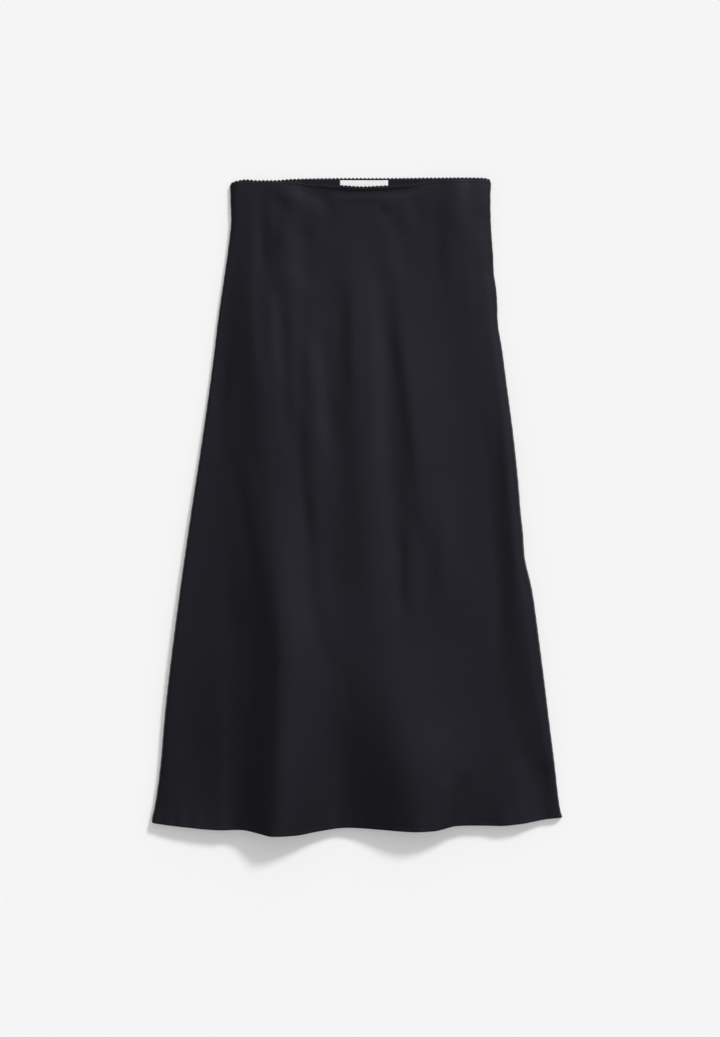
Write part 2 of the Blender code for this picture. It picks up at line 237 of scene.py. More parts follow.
# The folds of the front: each has its crest line, its rise there, and how far its feet reach
Fold = namedtuple("Fold", "down crest rise left_foot right_foot")
FOLDS = {
    "left flute": (
        Fold(0.090, -0.134, 0.0000, 0.030, 0.040),
        Fold(0.150, -0.126, 0.0006, 0.036, 0.040),
        Fold(0.266, -0.108, 0.0020, 0.050, 0.056),
        Fold(0.400, -0.098, 0.0038, 0.064, 0.060),
        Fold(0.480, -0.092, 0.0060, 0.070, 0.052),
        Fold(0.560, -0.086, 0.0084, 0.068, 0.062),
        Fold(0.640, -0.086, 0.0100, 0.070, 0.084),
        Fold(0.720, -0.088, 0.0138, 0.068, 0.078),
        Fold(0.790, -0.094, 0.0154, 0.062, 0.072),
    ),
    "middle flute": (
        Fold(0.430, 0.010, 0.0000, 0.070, 0.060),
        Fold(0.530, 0.030, 0.0022, 0.080, 0.100),
        Fold(0.620, 0.050, 0.0056, 0.092, 0.124),
        Fold(0.700, 0.076, 0.0098, 0.102, 0.110),
        Fold(0.760, 0.079, 0.0118, 0.100, 0.090),
        Fold(0.790, 0.080, 0.0132, 0.096, 0.074),
    ),
    "right flute": (
        Fold(0.620, 0.176, 0.0000, 0.024, 0.030),
        Fold(0.720, 0.178, 0.0024, 0.050, 0.060),
        Fold(0.790, 0.184, 0.0064, 0.060, 0.064),
    ),
    "middle ridge": (
        Fold(0.060, -0.004, 0.0000, 0.030, 0.040),
        Fold(0.160, -0.002, 0.0025, 0.036, 0.050),
        Fold(0.280, 0.002, 0.0035, 0.040, 0.050),
        Fold(0.400, 0.009, 0.0038, 0.048, 0.048),
        Fold(0.500, 0.018, 0.0020, 0.046, 0.046),
        Fold(0.580, 0.026, 0.0000, 0.030, 0.030),
    ),
    "right ridge": (
        Fold(0.060, 0.044, 0.0000, 0.020, 0.050),
        Fold(0.200, 0.056, 0.0017, 0.034, 0.060),
        Fold(0.280, 0.066, 0.0024, 0.034, 0.062),
        Fold(0.380, 0.078, 0.0026, 0.036, 0.056),
        Fold(0.470, 0.098, 0.0016, 0.040, 0.050),
        Fold(0.560, 0.112, 0.0000, 0.024, 0.036),
    ),
    "left ridge": (
        Fold(0.150, -0.046, 0.0000, 0.024, 0.028),
        Fold(0.260, -0.045, 0.0018, 0.024, 0.030),
        Fold(0.360, -0.042, 0.0018, 0.028, 0.028),
        Fold(0.440, -0.036, 0.0000, 0.022, 0.020),
    ),
    "seam ridge": (
        Fold(0.150, 0.168, 0.0000, 0.030, 0.012),
        Fold(0.230, 0.176, 0.0010, 0.040, 0.012),
        Fold(0.330, 0.182, 0.0032, 0.030, 0.020),
        Fold(0.440, 0.189, 0.0046, 0.028, 0.020),
        Fold(0.520, 0.200, 0.0046, 0.036, 0.020),
        Fold(0.620, 0.213, 0.0028, 0.040, 0.014),
        Fold(0.700, 0.228, 0.0018, 0.026, 0.012),
        Fold(0.770, 0.241, 0.0006, 0.020, 0.010),
    ),
    "right waist fold": (
        Fold(0.000, 0.128, 0.0010, 0.046, 0.046),
        Fold(0.080, 0.126, 0.0022, 0.054, 0.044),
        Fold(0.190, 0.136, 0.0010, 0.050, 0.036),
        Fold(0.280, 0.140, 0.0000, 0.030, 0.036),
    ),
    "brow of the left flute": (
        Fold(0.380, -0.102, 0.0000, 0.030, 0.070),
        Fold(0.470, -0.096, 0.0016, 0.034, 0.080),
        Fold(0.580, -0.088, 0.0034, 0.038, 0.080),
        Fold(0.700, -0.092, 0.0042, 0.044, 0.080),
        Fold(0.800, -0.098, 0.0036, 0.044, 0.080),
    ),
    "left of the left flute": (
        Fold(0.540, -0.160, 0.0000, 0.040, 0.050),
        Fold(0.640, -0.156, 0.0022, 0.046, 0.100),
        Fold(0.740, -0.156, 0.0044, 0.050, 0.110),
        Fold(0.800, -0.156, 0.0026, 0.050, 0.110),
    ),
    "brow of the middle flute": (
        Fold(0.560, 0.016, 0.0000, 0.060, 0.090),
        Fold(0.650, 0.042, 0.0022, 0.062, 0.120),
        Fold(0.720, 0.055, 0.0054, 0.074, 0.120),
        Fold(0.800, 0.064, 0.0036, 0.086, 0.080),
    ),
    "left root of the middle flute": (
        Fold(0.480, -0.034, 0.0000, 0.030, 0.070),
        Fold(0.560, -0.024, 0.0020, 0.034, 0.090),
        Fold(0.640, -0.012, 0.0020, 0.038, 0.100),
        Fold(0.720, 0.002, 0.0008, 0.040, 0.090),
        Fold(0.780, 0.010, 0.0000, 0.040, 0.070),
    ),
    "right slope": (
        Fold(0.070, 0.152, 0.0000, 0.040, 0.016),
        Fold(0.160, 0.158, 0.0014, 0.050, 0.016),
        Fold(0.280, 0.170, 0.0018, 0.056, 0.018),
        Fold(0.400, 0.180, 0.0000, 0.050, 0.018),
    ),
    "left slope": (
        Fold(0.080, -0.094, 0.0000, 0.026, 0.060),
        Fold(0.180, -0.090, 0.0010, 0.030, 0.070),
        Fold(0.300, -0.078, 0.0012, 0.036, 0.060),
        Fold(0.420, -0.070, 0.0000, 0.036, 0.050),
    ),
    "waist lip": (
        Fold(0.000, -0.004, 0.0016, 0.044, 0.100),
        Fold(0.012, 0.000, 0.0017, 0.044, 0.100),
        Fold(0.032, 0.006, 0.0000, 0.044, 0.090),
    ),
    "left corner": (
        Fold(0.680, -0.206, 0.0000, 0.030, 0.050),
        Fold(0.750, -0.202, 0.0026, 0.050, 0.074),
        Fold(0.790, -0.200, 0.0062, 0.070, 0.094),
    ),
    "left waist fold": (
        Fold(0.000, -0.076, 0.0004, 0.026, 0.030),
        Fold(0.050, -0.084, 0.0016, 0.024, 0.036),
        Fold(0.110, -0.090, 0.0005, 0.024, 0.040),
        Fold(0.150, -0.090, 0.0000, 0.020, 0.040),
    ),
}

# The broad swell of the front: steep on its left, and falling slowly to the right seam
Swell = namedtuple("Swell", "down crest rise")
SWELL = (
    Swell(0.000, -0.100, 0.0014),
    Swell(0.060, -0.118, 0.0018),
    Swell(0.150, -0.122, 0.0044),
    Swell(0.266, -0.108, 0.0066),
    Swell(0.400, -0.098, 0.0066),
    Swell(0.560, -0.086, 0.0062),
    Swell(0.650, -0.084, 0.0050),
    Swell(0.790, -0.090, 0.0018),
)

# Fine creases, each along a line from a first place to a last one. A ridge stands on the line, or is a
# trough where negative. A step rises, and a bow bulges, to the viewer's right of a line that runs down
# the skirt, and towards the waist from a line that runs to the right.
CREASE = "across_1 down_1 across_2 down_2 width step ridge bow"
Crease = namedtuple("Crease", CREASE, defaults=(0.0, 0.0, 0.0))
FRONT_CREASES = (
    Crease(-0.076, 0.001, -0.020, 0.030, 0.0120, 0.0017, bow=0.0010),  # waist pleat
    Crease(-0.060, 0.012, 0.092, 0.011, 0.0068, 0.0020, bow=-0.0034),  # fall of the waist's rim
    Crease(0.038, 0.040, 0.050, 0.130, 0.0160, -0.0012),
    Crease(-0.116, 0.010, -0.068, 0.043, 0.0120, 0.0010, bow=0.0010),  # second waist pleat
    Crease(-0.115, 0.008, -0.113, 0.120, 0.0078, ridge=-0.0008),  # trough below the waist
    Crease(-0.092, 0.018, -0.100, 0.070, 0.0100, -0.0009),
    Crease(-0.036, 0.026, -0.050, 0.076, 0.0130, -0.0010),
    Crease(-0.076, 0.044, -0.070, 0.144, 0.0180, -0.0024),  # light side of the hip
    Crease(0.026, 0.033, 0.048, 0.041, 0.0080, 0.0007, bow=-0.0020),
    Crease(0.060, 0.020, 0.070, 0.070, 0.0120, -0.0008),
    Crease(0.101, 0.012, 0.106, 0.150, 0.0110, 0.0009),  # right of the waist
    Crease(0.124, -0.040, 0.134, 0.080, 0.0170, -0.0022),
    Crease(-0.141, 0.320, -0.108, 0.512, 0.0110, 0.0008, bow=-0.0024),  # left flute
    Crease(-0.099, 0.120, -0.094, 0.250, 0.0090, -0.0008),
    Crease(-0.084, 0.120, -0.078, 0.340, 0.0100, 0.0012),
    Crease(-0.052, 0.170, -0.038, 0.350, 0.0150, -0.0028),  # left ridge
    Crease(-0.074, 0.250, -0.052, 0.450, 0.0110, 0.0014, bow=0.0020),
    Crease(-0.153, 0.190, -0.157, 0.340, 0.0110, 0.0008),
    Crease(-0.056, 0.370, -0.046, 0.560, 0.0130, 0.0014),
    Crease(-0.014, 0.112, -0.008, 0.280, 0.0110, 0.0011),  # middle ridge
    Crease(-0.005, 0.270, 0.001, 0.476, 0.0120, 0.0003),
    Crease(0.022, 0.090, 0.036, 0.480, 0.0150, -0.0022),
    Crease(0.038, 0.140, 0.070, 0.396, 0.0120, 0.0014, bow=0.0030),  # between the two ridges
    Crease(0.096, 0.410, 0.096, 0.500, 0.0080, 0.0007),
    Crease(0.056, 0.406, 0.058, 0.534, 0.0115, 0.0024),
    Crease(0.078, 0.424, 0.079, 0.520, 0.0090, -0.0007),
    Crease(0.110, 0.370, 0.116, 0.480, 0.0110, -0.0007),
    Crease(0.142, 0.468, 0.142, 0.514, 0.0080, -0.0004),
    Crease(0.113, 0.660, 0.113, 0.708, 0.0120, -0.0006),
    Crease(0.117, 0.706, 0.118, 0.800, 0.0130, -0.0028),
    Crease(0.172, 0.230, 0.178, 0.420, 0.0100, 0.0009),  # along the right seam
    Crease(0.190, 0.380, 0.178, 0.600, 0.0120, 0.0008, bow=-0.0020),
    Crease(0.213, 0.602, 0.238, 0.756, 0.0100, 0.0008),
    Crease(0.157, 0.701, 0.157, 0.778, 0.0110, 0.0003),  # right flute
    Crease(0.205, 0.690, 0.212, 0.800, 0.0210, -0.0028),
)
BACK_CREASES = (
    Crease(-0.118, 0.012, -0.070, 0.066, 0.0070, ridge=0.0007, bow=0.0020),
    Crease(-0.038, 0.006, -0.046, 0.150, 0.0090, ridge=0.0009, bow=0.0040),
    Crease(0.062, 0.010, 0.090, 0.118, 0.0080, ridge=0.0006, bow=-0.0030),
    Crease(0.132, 0.030, 0.118, 0.190, 0.0100, ridge=0.0008, bow=0.0030),
    Crease(-0.104, 0.140, -0.136, 0.420, 0.0120, ridge=0.0012, bow=0.0060),
    Crease(-0.020, 0.200, -0.004, 0.470, 0.0110, ridge=0.0010, bow=-0.0050),
    Crease(0.078, 0.250, 0.128, 0.520, 0.0130, ridge=0.0013, bow=0.0050),
    Crease(-0.176, 0.400, -0.168, 0.600, 0.0090, ridge=0.0007, bow=0.0030),
    Crease(-0.070, 0.430, -0.092, 0.760, 0.0150, ridge=0.0016, bow=0.0070),
    Crease(0.040, 0.500, 0.022, 0.772, 0.0140, ridge=0.0014, bow=-0.0060),
    Crease(0.160, 0.480, 0.186, 0.740, 0.0110, ridge=0.0011, bow=0.0040),
    Crease(-0.206, 0.610, -0.196, 0.752, 0.0080, ridge=0.0006, bow=0.0020),
)

# How deep the groove is under the front's edge, where the elastic draws the satin in
Groove = namedtuple("Groove", "across depth")
GROOVES = (
    Groove(-0.150, 0.0001),
    Groove(-0.100, 0.0001),
    Groove(-0.040, 0.0003),
    Groove(-0.020, 0.0002),
    Groove(0.030, 0.0002),
    Groove(0.060, 0.0003),
    Groove(0.090, 0.0002),
    Groove(0.120, 0.0001),
    Groove(0.160, 0.0001),
)


def along(table, column, at):
    """The named column at each place, on a smooth curve through the rows that never overshoots."""
    key = np.array([row[0] for row in table])
    value = np.array([getattr(row, column) for row in table])
    step = np.diff(key)
    slope = np.diff(value) / step
    before, after = slope[:-1], slope[1:]
    turning = before * after <= 0.0
    total = np.where(turning, 1.0, before + after)
    mean = np.where(turning, 0.0, 2.0 * before * after / total)
    tangent = np.concatenate([slope[:1], mean, slope[-1:]])
    at = np.clip(at, key[0], key[-1])
    row = np.clip(np.searchsorted(key, at, side="right") - 1, 0, len(step) - 1)
    part = (at - key[row]) / step[row]
    rest = 1.0 - part
    return (
        (1.0 + 2.0 * part) * rest**2 * value[row]
        + part * rest**2 * step[row] * tangent[row]
        + part**2 * (3.0 - 2.0 * part) * value[row + 1]
        - part**2 * rest * step[row] * tangent[row + 1]
    )


def bell(reach):
    """1 on a fold's crest and 0 at its foot, steepest two fifths of the way out."""
    softness = 0.05
    far = np.hypot(np.clip(reach, 0.0, 1.0), softness) - softness
    far = far / (np.hypot(1.0, softness) - softness)
    return (1.0 - far**1.5) ** 2


def smooth(value):
    """0 below 0 and 1 above 1, with a smooth cubic between."""
    value = np.clip(value, 0.0, 1.0)
    return value**2 * (3.0 - 2.0 * value)


def hump(off, reach):
    """1 on a line and 0 well away from it: a Gaussian of the distance off, as a share of the reach."""
    return np.exp(-((off / reach) ** 2))


def ripple(at, pitch, phase):
    """An uneven wave from -1 to 1: a sine whose phase a slower sine pushes to and fro."""
    push, slowness = 1.7, 5.3
    slow = np.sin(2.0 * np.pi * at / (slowness * pitch) + phase)
    return np.sin(2.0 * np.pi * at / pitch + push * slow)


def unit(vectors):
    """Vectors brought to length 1."""
    return vectors / np.linalg.norm(vectors, axis=-1, keepdims=True)


def distance(points, axis=0):
    """How far each point is from the first one, along a line or along each line of a grid."""
    steps = np.linalg.norm(np.diff(points, axis=axis), axis=-1)
    start = np.zeros_like(np.take(steps, [0], axis=axis))
    return np.concatenate([start, np.cumsum(steps, axis=axis)], axis=axis)


def sides(down):
    """x of the left and of the right outline, with the seams' small puckers."""
    left = along(SIDES, "left", down) + SEAM_PULL * ripple(down, pitch=0.015, phase=2.1)
    right = along(SIDES, "right", down) + SEAM_PULL * ripple(down, pitch=0.013, phase=0.4)
    for pucker in PUCKERS:
        right = right - pucker.bite * hump(down - pucker.down, pucker.reach)
    return left, right


def creases(table, across, down):
    """Height of fine creases: a Gaussian ridge, or a step within one, round a bowed line with faded ends."""
    end = 0.3  # of the line, at each end, over which a crease fades
    height = np.zeros(np.broadcast(across, down).shape)
    for crease in table:
        run_x, run_y = crease.across_2 - crease.across_1, crease.down_2 - crease.down_1
        length = math.hypot(run_x, run_y)
        run_x, run_y = run_x / length, run_y / length
        from_x, from_y = across - crease.across_1, down - crease.down_1
        part = (from_x * run_x + from_y * run_y) / length
        inside = np.clip(part, 0.0, 1.0)
        off = from_x * run_y - from_y * run_x - crease.bow * 4.0 * inside * (1.0 - inside)
        off = off / crease.width
        fade = smooth(part / end) * smooth((1.0 - part) / end)
        height = height + fade * np.exp(-(off**2)) * (crease.ridge + crease.step * off)
    return height


def front_height(across, down):
    """Height of the front, before it rolls over to the seams.

    It is the left and the right height, shared by the place across, less a fall near each outline by
    the square of the nearness, plus the broad swell, the bell of each fold and the fine creases.
    """
    left, right = sides(down)
    share = (across - left) / (right - left)
    height = along(HEIGHTS, "left", down) * (1.0 - share) + along(HEIGHTS, "right", down) * share
    for gap, side in ((across - left, "left"), (right - across, "right")):
        near = 1.0 - np.clip(gap / along(SHOULDERS, side + "_width", down), 0.0, 1.0)
        height = height - along(SHOULDERS, side + "_drop", down) * near**2
    crest = along(SWELL, "crest", down)
    steep = bell((crest - across) / (SWELL_REACH * (crest - left)))
    slow = 1.0 - ((across - crest) / (right - crest)) ** 2
    height = height + along(SWELL, "rise", down) * np.where(across < crest, steep, slow)
    for fold in FOLDS.values():
        offset = across - along(fold, "crest", down)
        foot = np.where(offset < 0.0, along(fold, "left_foot", down), along(fold, "right_foot", down))
        height = height + along(fold, "rise", down) * bell(np.abs(offset) / foot)
    return height + creases(FRONT_CREASES, across, down)


def run(part):
    """A panel's columns, from part 0 at the left seam to 1 at the right one.

    Gives the share of the way across, the inset in rolls, and how far the roll has turned.
    """
    left_angle = np.clip(part / ROLL_SHARE, 0.0, 1.0) * np.pi / 2.0
    right_angle = np.clip((1.0 - part) / ROLL_SHARE, 0.0, 1.0) * np.pi / 2.0
    share = np.clip((part - ROLL_SHARE) / (1.0 - 2.0 * ROLL_SHARE), 0.0, 1.0)
    middle = 1.0 - 2.0 * share
    inset = np.where(share <= 0.0, 1.0 - np.cos(left_angle), middle)
    inset = np.where(share >= 1.0, np.cos(right_angle) - 1.0, inset)
    return share, inset, np.sin(np.minimum(left_angle, right_angle))


def across_at(panel, part, down):
    """x of each column: between the two outlines by its share, and set in from them by its roll."""
    share, inset, _ = run(part)
    left, right = sides(down)
    roll = ROLL if panel == "front" else along(HEIGHTS, "seam", down)
    return left * (1.0 - share) + right * share + roll * inset


def top_line(panel, part):
    """`down` of the satin's top edge at each column."""
    return along(TOPS, panel, across_at(panel, part, 0.0))


def hem_line(panel, part):
    """`down` of the hem at each column."""
    return along(HEMS, panel, across_at(panel, part, HEM_LEVEL))


def outside(panel, part, down):
    """Points of the tube's outside, an array of x, y, z.

    z goes from the seam's height at a seam, as the sine of the roll's turn, to the front's own
    height, or on the back down to the surface. y falls as `down` grows.
    """
    across = across_at(panel, part, down)
    turned = run(part)[2]
    seam = along(HEIGHTS, "seam", down)
    if panel == "front":
        height = seam + (front_height(across, down) - seam) * turned
    else:
        height = seam * (1.0 - turned)
    return np.stack([across, LENGTH / 2.0 - down, height], axis=-1)


def way_along(points, axis, ends_meet):
    """Which way points run along an axis of their grid: from the neighbour before each to the one after."""
    if ends_meet:
        return np.roll(points, -1, axis=axis) - np.roll(points, 1, axis=axis)
    return np.gradient(points, axis=axis)


def outward(grid, ends_meet=False):
    """Unit normals of a grid of rows down the skirt by points along it, outwards on a front run."""
    return unit(np.cross(way_along(grid, 0, False), way_along(grid, 1, ends_meet)))


def panel_parts(columns):
    """Column places: even steps of the roll at each seam, and even steps between the rolls."""
    roll = np.linspace(0.0, ROLL_SHARE, ROLL_STEPS + 1)
    middle = np.linspace(ROLL_SHARE, 1.0 - ROLL_SHARE, columns + 1)[1:-1]
    return np.concatenate([roll, middle, 1.0 - roll[::-1]])


def panel_rows(top, hem, rows):
    """`down` for each row and column: close rows at the waist and at the hem, even ones between."""
    below = WAIST_REACH * np.linspace(0.0, 1.0, WAIST_ROWS) ** CROWDING
    above = HEM_REACH * np.linspace(1.0, 0.0, HEM_ROWS) ** CROWDING
    between = np.linspace(0.0, 1.0, rows - WAIST_ROWS - HEM_ROWS + 2)[1:-1]
    upper, lower = top + below[-1], hem - above[0]
    return np.concatenate([
        top + below[:, None],
        upper + (lower - upper) * between[:, None],
        hem - above[:, None],
    ])


def even_parts(panel, count, line, offset=0.0):
    """Places at equal distances along a line of a panel, from one seam to just before the other."""
    fine = np.linspace(0.0, 1.0, FINE_STEPS + 1)
    length = distance(outside(panel, fine, line(panel, fine) + offset))
    return np.interp(np.arange(count) / count * length[-1], length, fine), length[-1]


def skin_at(panel, part, down):
    """Points of the satin's outer face: the tube's outside with its finest form.

    On the front z is raised by the waist's gathers, the hem's proud edge and its waves, and lowered
    by Gaussian grooves along the elastic and the hem's stitches. On the back, which faces down, z is
    raised by its creases and by the stitches' groove. At the hem the left corner is rounded by a
    quarter circle, and the right one stands out by the seam's thick end.
    """
    below, above = down - top_line(panel, part), hem_line(panel, part) - down
    skin = outside(panel, part, down)
    across = skin[..., 0]
    stitch = STITCH_SINK * hump(above - HEM_STITCH, STITCH_REACH)
    if panel == "front":
        depth = along(GROOVES, "depth", across) * hump(below - GROOVE_LEVEL, GROOVE_REACH)
        gather = GATHER_RISE * np.exp(-below / GATHER_REACH) * ripple(across, PICOT_PITCH, phase=1.0)
        proud = HEM_PROUD * smooth((HEM_STITCH - above) / HEM_PROUD_STEP)
        wave = HEM_WAVE * smooth(1.0 - above / HEM_WAVE_REACH) * ripple(across, pitch=0.021, phase=0.0)
        lift = gather - depth + proud + wave - stitch
    else:
        lift = np.maximum(creases(BACK_CREASES, across, down), 0.0) + stitch
    skin[..., 2] = skin[..., 2] + lift * run(part)[2]
    corner = np.sqrt(np.clip(1.0 - (1.0 - np.clip(above / CORNER, 0.0, 1.0)) ** 2, 0.0, 1.0))
    near_left, near_right = np.exp(-part / CORNER_SHARE), np.exp(-(1.0 - part) / CORNER_SHARE)
    end = smooth(1.0 - above / NUB_LENGTH)
    skin[..., 0] = skin[..., 0] + (1.0 - corner) * CORNER * near_left + end * NUB * near_right
    return skin


def face_at(panel, part, down):
    """Points of the satin's outer face along one line, and its normals, outwards on either panel."""
    beside = 0.0005
    skin = skin_at(panel, part[None], np.stack([down - beside, down, down + beside]))
    normal = outward(skin)[1]
    return skin[1], normal if panel == "front" else -normal


def wall_at(panel, part, down, cloth, hem_wall):
    """Thickness of the satin: two layers where it is turned in at the waist, then one, then the hem's."""
    below, above = down - top_line(panel, part), hem_line(panel, part) - down
    waist = smooth((TURNED_EDGE - below) / TURNED_STEP)
    hem = smooth((HEM_WIDTH - above) / HEM_STEP)
    return cloth + cloth * waist + (hem_wall - cloth) * hem


def link(name, points, faces, uv, finish):
    """A mesh object from arrays, shaded smooth, with a UV map in metres of cloth or thread."""
    mesh = bpy.data.meshes.new(name)
    mesh.from_pydata(points.reshape(-1, 3).tolist(), [], faces)
    layer = mesh.uv_layers.new(name="cloth")
    corner = np.empty(len(mesh.loops), dtype=np.int32)
    mesh.loops.foreach_get("vertex_index", corner)
    layer.data.foreach_set("uv", uv.reshape(-1, 2)[corner].astype(np.float32).ravel())
    mesh.materials.append(finish)
    mesh.shade_smooth()
    mesh.update()
    made = bpy.data.objects.new(name, mesh)
    bpy.context.scene.collection.objects.link(made)
    return made


def quads(rows, columns, rows_meet, columns_meet):
    """Corner numbers of each quad of a grid of points, facing out on a front run."""
    down = np.arange(rows if rows_meet else rows - 1)
    side = np.arange(columns if columns_meet else columns - 1)
    here, after = down[:, None] * columns, (down[:, None] + 1) % rows * columns
    near, far = side[None], (side[None] + 1) % columns
    return np.stack([here + near, after + near, after + far, here + far], axis=-1).reshape(-1, 4)


def shell(name, outer, inner, uv, finish, ends_meet=False):
    """A closed wall: outer and inner grids of rows by columns, joined by half-round edges.

    The inner grid has each second row of the outer one. Open ends are closed by small caps.
    """
    turn = np.linspace(0.0, np.pi, EDGE_STEPS + 2)[1:-1, None, None]

    def round_edge(start, end, before):
        middle, half = (start + end) / 2.0, (start - end) / 2.0
        way = unit(start - before) * np.linalg.norm(half, axis=-1, keepdims=True)
        return middle + half * np.cos(turn) + way * np.sin(turn)

    low = round_edge(outer[-1], inner[-1], outer[-2])
    high = round_edge(inner[0], outer[0], inner[1])
    ring = np.concatenate([outer, low, inner[::-1], high])
    rows, columns, _ = ring.shape
    low_uv = np.repeat(uv[-1:], EDGE_STEPS, axis=0)
    high_uv = np.repeat(uv[:1], EDGE_STEPS, axis=0)
    ring_uv = np.concatenate([uv, low_uv, uv[::-2], high_uv])
    faces = quads(rows, columns, True, ends_meet).tolist()
    if not ends_meet:
        count, half = len(outer), len(inner)
        inner_row = count + EDGE_STEPS + half - 1 - np.arange(half)
        first = 2 * np.arange(half - 1)
        sides_of_cap = [first, inner_row[:-1], inner_row[1:], first + 2, first + 1]
        hem_end = np.arange(count - 1, count + EDGE_STEPS + 1)
        waist_end = np.append(np.arange(rows - EDGE_STEPS - 1, rows), 0)
        near = np.stack(sides_of_cap, axis=-1) * columns
        faces += near.tolist() + (near[:, ::-1] + columns - 1).tolist()
        for end in (hem_end, waist_end):
            faces += [(end * columns)[::-1].tolist(), (end * columns + columns - 1).tolist()]
    return link(name, ring, faces, ring_uv, finish)


def tube(name, path, normal, radius, finish, ends_meet=False):
    """A thread: a circle in the plane of each point's normal and side, carried along a path."""
    way = unit(way_along(path, 0, ends_meet))
    side = unit(np.cross(normal, way))
    up = np.cross(way, side)
    turn = TURNS[None, :, None]
    ring = path[:, None] + radius * (up[:, None] * np.cos(turn) + side[:, None] * np.sin(turn))
    uv = np.stack(np.broadcast_arrays(distance(path)[:, None], radius * TURNS), axis=-1)
    faces = quads(len(path), THREAD_SIDES, ends_meet, True).tolist()
    if not ends_meet:
        first = np.arange(THREAD_SIDES)
        faces += [first.tolist(), (first[::-1] + (len(path) - 1) * THREAD_SIDES).tolist()]
    return link(name, ring, faces, uv, finish)


def stitches(name, centre, way, normal, length, radius, finish):
    """Short threads, each a spindle along its own way: rings whose radius swells in the middle."""
    rings, taper, sink_share = 5, 0.92, 0.8
    way = unit(way)
    side = unit(np.cross(normal, way))
    place = np.linspace(-1.0, 1.0, rings)
    offset = place[:, None, None] * length / 2.0
    swell = radius * np.sqrt(1.0 - taper * place**2)[:, None, None]
    sink = -sink_share * radius * place[:, None, None] ** 2
    ring = (
        centre[:, None, None]
        + way[:, None, None] * offset
        + normal[:, None, None] * (swell * np.cos(TURNS)[None, :, None] + sink)
        + side[:, None, None] * swell * np.sin(TURNS)[None, :, None]
    )
    start = np.arange(len(centre))[:, None, None] * rings * THREAD_SIDES
    first = np.arange(THREAD_SIDES)
    ends = np.stack([first, first[::-1] + (rings - 1) * THREAD_SIDES])
    faces = (start + quads(rings, THREAD_SIDES, False, True)).reshape(-1, 4).tolist()
    faces += (start + ends).reshape(-1, THREAD_SIDES).tolist()
    uv = np.zeros(ring.shape[:-1] + (2,))
    uv[..., 0] = offset[..., 0]
    uv[..., 1] = radius * TURNS
    return link(name, ring, faces, uv, finish)


class Wire:
    """A socket in a material's node tree. Arithmetic on it adds Math nodes."""

    def __init__(self, tree, socket=None):
        self.tree = tree
        self.socket = socket

    def node(self, kind, settings, sockets, output=0):
        """Adds a node: its type, its settings, then the values or links of its sockets."""
        made = self.tree.nodes.new(kind)
        for name, value in settings.items():
            setattr(made, name, value)
        for name, value in sockets.items():
            if isinstance(value, Wire):
                self.tree.links.new(value.socket, made.inputs[name])
            else:
                made.inputs[name].default_value = value
        return Wire(self.tree, made.outputs[output] if made.outputs else None)

    def math(self, operation, *values):
        return self.node("ShaderNodeMath", {"operation": operation}, dict(enumerate(values)))

    def __add__(self, other):
        return self.math("ADD", self, other)

    def __sub__(self, other):
        return self.math("SUBTRACT", self, other)

    def __mul__(self, other):
        return self.math("MULTIPLY", self, other)

    def __rsub__(self, other):
        return self.math("SUBTRACT", other, self)

    __radd__ = __add__
    __rmul__ = __mul__

    def sine(self):
        return self.math("SINE", self)

    def turns(self, pitch):
        """The angle of a wave of that pitch, where this is a length."""
        return self * (2.0 * math.pi / pitch)

    def blend(self, low, high):
        """The colour low where this is 0 and high where it is 1."""
        settings = {"data_type": "RGBA"}
        return self.node("ShaderNodeMix", settings, {0: self, 6: (*low, 1.0), 7: (*high, 1.0)}, 2)

    def noise(self, place, scale, detail, stretch=(1.0, 1.0, 1.0), turn=0.0):
        """Noise from 0 to 1, whose grains are stretched along an axis turned by an angle."""
        settings = {"vector_type": "TEXTURE"}
        sizes = {"Vector": place, "Rotation": (0.0, 0.0, turn), "Scale": stretch}
        laid = self.node("ShaderNodeMapping", settings, sizes)
        return self.node("ShaderNodeTexNoise", {}, {"Vector": laid, "Scale": scale, "Detail": detail})

    def bump(self, height, distance, under=None):
        """A normal from a height, whose 1 stands for the distance in metres."""
        sockets = {"Height": height, "Distance": distance, "Strength": 1.0}
        if under is not None:
            sockets["Normal"] = under
        return self.node("ShaderNodeBump", {}, sockets)


def shades(colour, low, high):
    """A colour at two strengths, the darker one first."""
    return [tuple(factor * part for part in colour) for factor in (low, high)]


def new_material(name):
    """An empty node material, and the wire that adds to it."""
    made = bpy.data.materials.new(name)
    made.use_nodes = True
    made.node_tree.nodes.clear()
    return made, Wire(made.node_tree)


def places(wire):
    """The piece's own map in metres, its two parts, and object coordinates."""
    laid = wire.node("ShaderNodeUVMap", {"uv_map": "cloth"}, {})
    split = wire.node("ShaderNodeSeparateXYZ", {}, {0: laid}).socket.node
    across, down = (Wire(wire.tree, socket) for socket in split.outputs[:2])
    thing = wire.node("ShaderNodeTexCoord", {}, {}, 3)
    return laid, across, down, thing


def end_material(wire, sockets):
    """The Principled shader and the material's output."""
    shader = wire.node("ShaderNodeBsdfPrincipled", {}, sockets)
    wire.node("ShaderNodeOutputMaterial", {}, {"Surface": shader})


